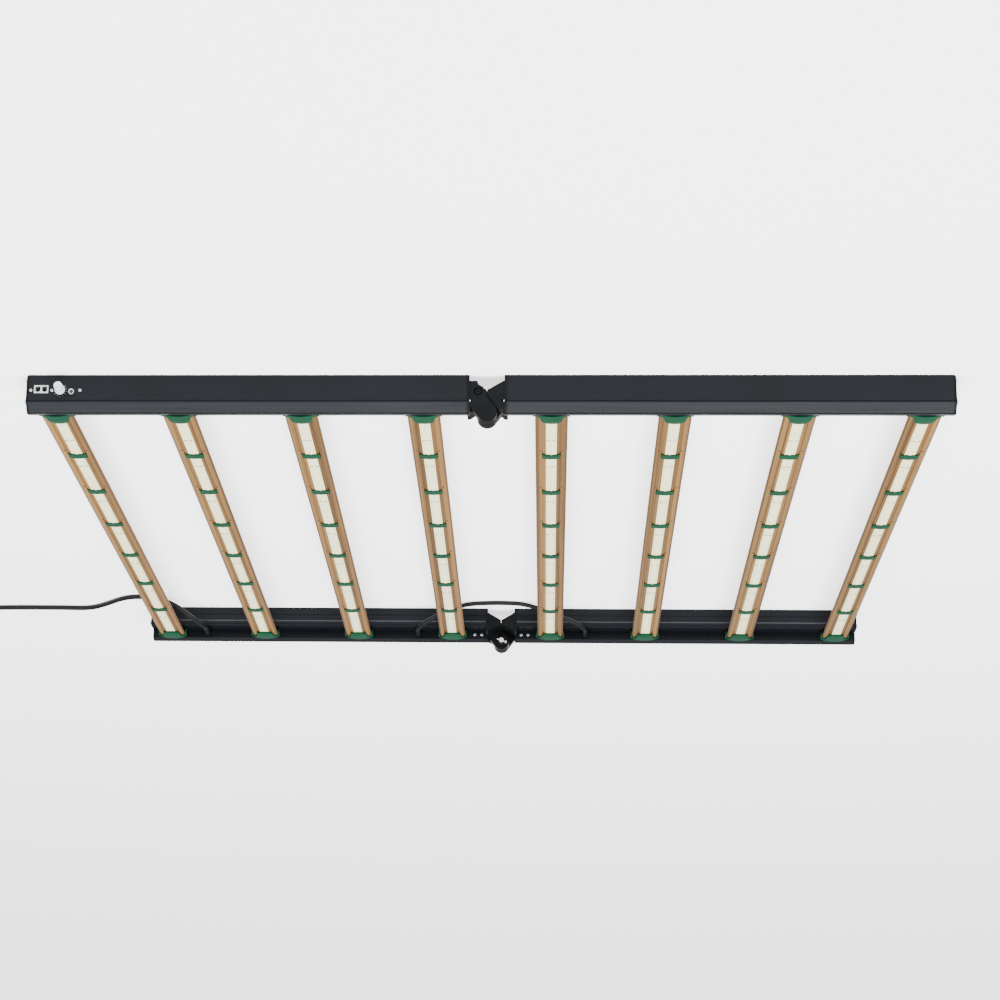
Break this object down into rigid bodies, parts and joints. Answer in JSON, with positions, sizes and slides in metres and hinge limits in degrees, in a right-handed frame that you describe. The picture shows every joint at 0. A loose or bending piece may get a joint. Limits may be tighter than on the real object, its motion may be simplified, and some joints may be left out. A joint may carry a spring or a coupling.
{
  "type": "led grow light",
  "caption": "Folding LED grow light: parallel light bars between two pairs of hinged hollow beams, with a dimmer and sockets at one corner, shown lying on its back.",
  "frame": {"origin": "centre of the rectangle of hanging inserts, in the plane of the beams' backs; the fixture lies on its back on that plane", "axes": "+X along the hinged beams towards the half with the mains cord and controls, +Y along the light bars from the controls' side to the cords' side, +Z out of the lit face (the fixture hangs the other way up in use)"},
  "size_m": [1.4809, 1.0882, 0.0587],
  "materials": {
    "beam_black": "satin black powder coat on extruded aluminium",
    "plate_black": "satin black",
    "hinge_black": "matt black cast alloy",
    "lock_black": "black",
    "zinc": "zinc plated",
    "heatsink_gold": "gold-tan anodised extrusion",
    "board_white": "cream-white solder mask",
    "green_plastic": "mid-green moulded plastic, low sheen",
    "driver_case": "plain, potted",
    "circuit_board": "green solder mask",
    "socket_grey": "pale grey moulding",
    "pot_metal": "nickel plated",
    "knob_grey": "pale grey-white moulding",
    "gland_black": "black moulding",
    "cable_black": "black jacket, low sheen",
    "plug_black": "moulded black"
  },
  "bodies": {
    "power_half": {"front_beam_a": "beam_black", "back_beam_a": "beam_black", "front_end_plate_a": "plate_black", "back_end_plate_a": "plate_black", "beam_end_screws_a": "zinc", "hanger_inserts_a": "zinc", "front_hinge_bracket_a": "hinge_black", "back_hinge_bracket_a": "hinge_black", "front_hinge_pin": "zinc", "front_hinge_retainer": "zinc", "heatsink_bar_1": "heatsink_gold", "heatsink_bar_2": "heatsink_gold", "heatsink_bar_3": "heatsink_gold", "heatsink_bar_4": "heatsink_gold", "led_board_1": "board_white", "led_board_2": "board_white", "led_board_3": "board_white", "led_board_4": "board_white", "strap_clips_a": "green_plastic", "bar_end_caps_a": "green_plastic", "bar_screws_a": "zinc", "led_driver_a": "driver_case", "control_board": "circuit_board", "data_sockets": "socket_grey", "dimmer_pot": "pot_metal", "sensor_jack": "pot_metal", "panel_screws": "zinc", "mains_gland": "gland_black", "jumper_gland_a": "gland_black", "jumper_cable": "cable_black", "mains_cord": "cable_black", "mains_cord_coil": "cable_black", "mains_plug": "plug_black"},
    "fold_half": {"front_beam_b": "beam_black", "back_beam_b": "beam_black", "front_end_plate_b": "plate_black", "back_end_plate_b": "plate_black", "beam_end_screws_b": "zinc", "hanger_inserts_b": "zinc", "front_hinge_bracket_b": "hinge_black", "back_hinge_bracket_b": "hinge_black", "back_hinge_pin": "zinc", "back_hinge_retainer": "zinc", "heatsink_bar_5": "heatsink_gold", "heatsink_bar_6": "heatsink_gold", "heatsink_bar_7": "heatsink_gold", "heatsink_bar_8": "heatsink_gold", "led_board_5": "board_white", "led_board_6": "board_white", "led_board_7": "board_white", "led_board_8": "board_white", "strap_clips_b": "green_plastic", "bar_end_caps_b": "green_plastic", "bar_screws_b": "zinc", "led_driver_b": "driver_case", "jumper_gland_b": "gland_black"},
    "dimmer_knob": {"dimmer_knob": "knob_grey"},
    "front_lock_pin": {"front_lock_pin": "lock_black"},
    "back_lock_pin": {"back_lock_pin": "lock_black"}
  },
  "joints": [
    {"name": "fold", "type": "hinge", "parent": "power_half", "child": "fold_half", "pos_m": [0, 0, 0.0467], "axis": [0, 1, 0], "range_deg": [0, 180], "deforming": ["jumper_cable"]},
    {"name": "dimmer", "type": "hinge", "parent": "power_half", "child": "dimmer_knob", "pos_m": [0.5131, -0.545, 0.0201], "axis": [0, -1, 0], "range_deg": [-135, 135]},
    {"name": "front_lock", "type": "slide", "parent": "power_half", "child": "front_lock_pin", "axis": [0, 1, 0], "range_m": [0, 0.004]},
    {"name": "back_lock", "type": "slide", "parent": "fold_half", "child": "back_lock_pin", "axis": [0, -1, 0], "range_m": [0, 0.004]}
  ]
}
